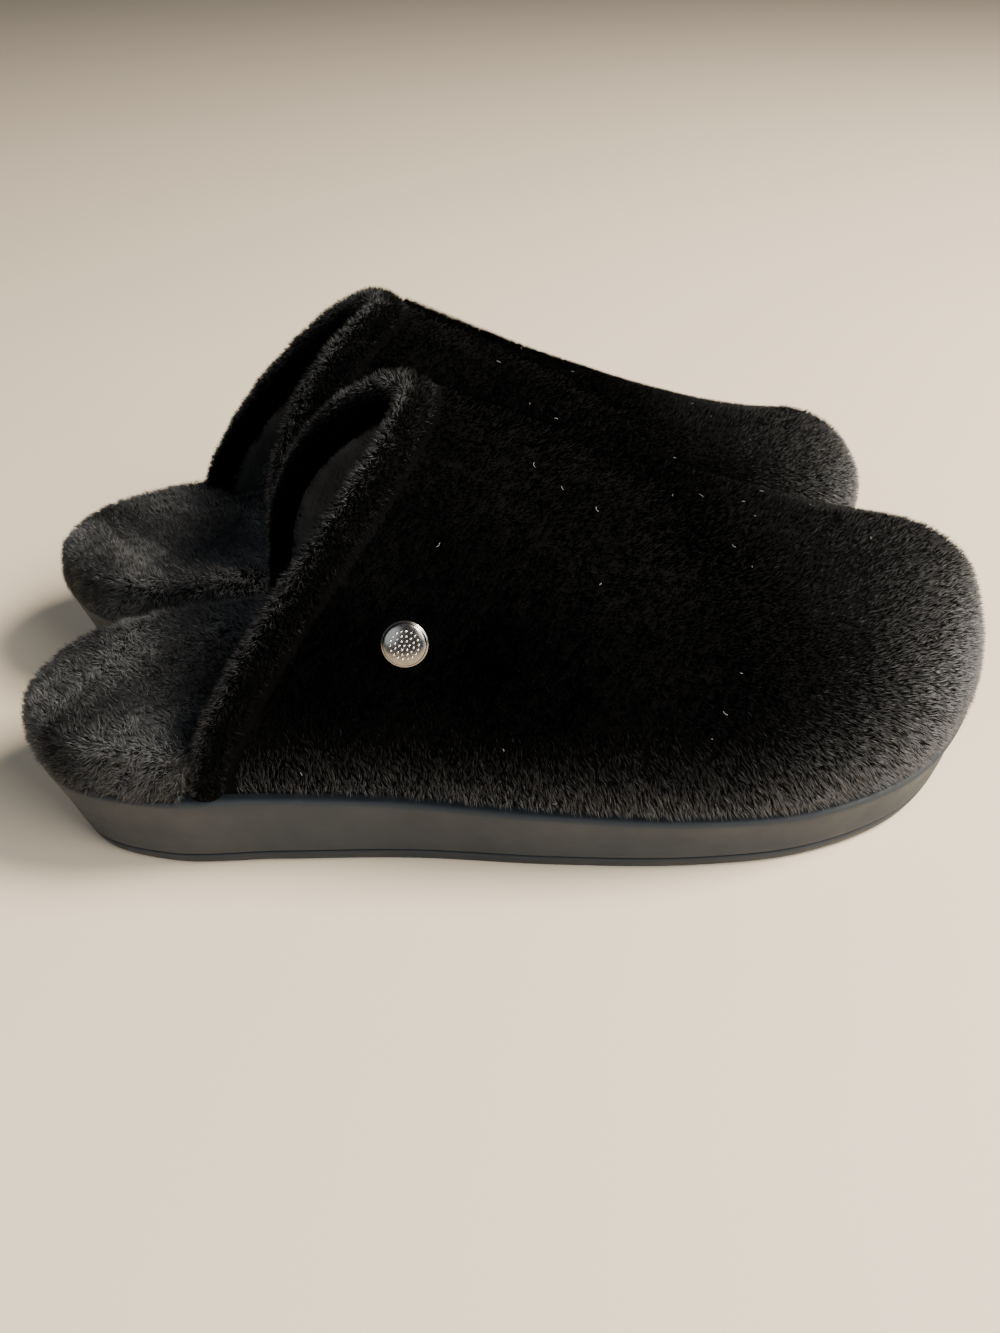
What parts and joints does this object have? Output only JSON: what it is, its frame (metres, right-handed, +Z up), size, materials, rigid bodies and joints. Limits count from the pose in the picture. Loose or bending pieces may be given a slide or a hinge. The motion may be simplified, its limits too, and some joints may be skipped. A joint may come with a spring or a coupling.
{
  "type": "plush clog slippers",
  "caption": "Pair of backless plush slippers with a thick foam sole, a closed toe, a padded cuff round the foot opening and a small metal stud on the outer side.",
  "frame": {"origin": "centre of the pair's footprint, at the height of the surface it stands on", "axes": "+X towards the toes, +Y from the right slipper to the left one, +Z up"},
  "size_m": [0.2692, 0.2052, 0.1138],
  "materials": {
    "outsole_rubber": "matte",
    "sole_foam": "matte",
    "wadding": "matte",
    "fibre_board": "matte",
    "plush": "matte",
    "stiffener": "matte",
    "thread": "matte",
    "stud_metal": "satin"
  },
  "bodies": {
    "right_slipper": {"right_outsole": "outsole_rubber", "right_midsole": "sole_foam", "right_bottom_filler": "wadding", "right_insole_board": "fibre_board", "right_footbed_foam": "wadding", "right_footbed_cover": "plush", "right_upper_shell": "plush", "right_upper_padding": "wadding", "right_toe_puff": "stiffener", "right_upper_lining": "plush", "right_cuff_cover": "plush", "right_cuff_padding": "wadding", "right_cuff_thread": "thread", "right_stud_cap": "stud_metal", "right_stud_post": "stud_metal", "right_stud_washer": "stud_metal"},
    "left_slipper": {"left_outsole": "outsole_rubber", "left_midsole": "sole_foam", "left_bottom_filler": "wadding", "left_insole_board": "fibre_board", "left_footbed_foam": "wadding", "left_footbed_cover": "plush", "left_upper_shell": "plush", "left_upper_padding": "wadding", "left_toe_puff": "stiffener", "left_upper_lining": "plush", "left_cuff_cover": "plush", "left_cuff_padding": "wadding", "left_cuff_thread": "thread", "left_stud_cap": "stud_metal", "left_stud_post": "stud_metal", "left_stud_washer": "stud_metal"}
  },
  "joints": [
    {"name": "left_slipper_lift", "type": "slide", "parent": "right_slipper", "child": "left_slipper", "axis": [0, 0, 1], "range_m": [0, 0.15]}
  ]
}
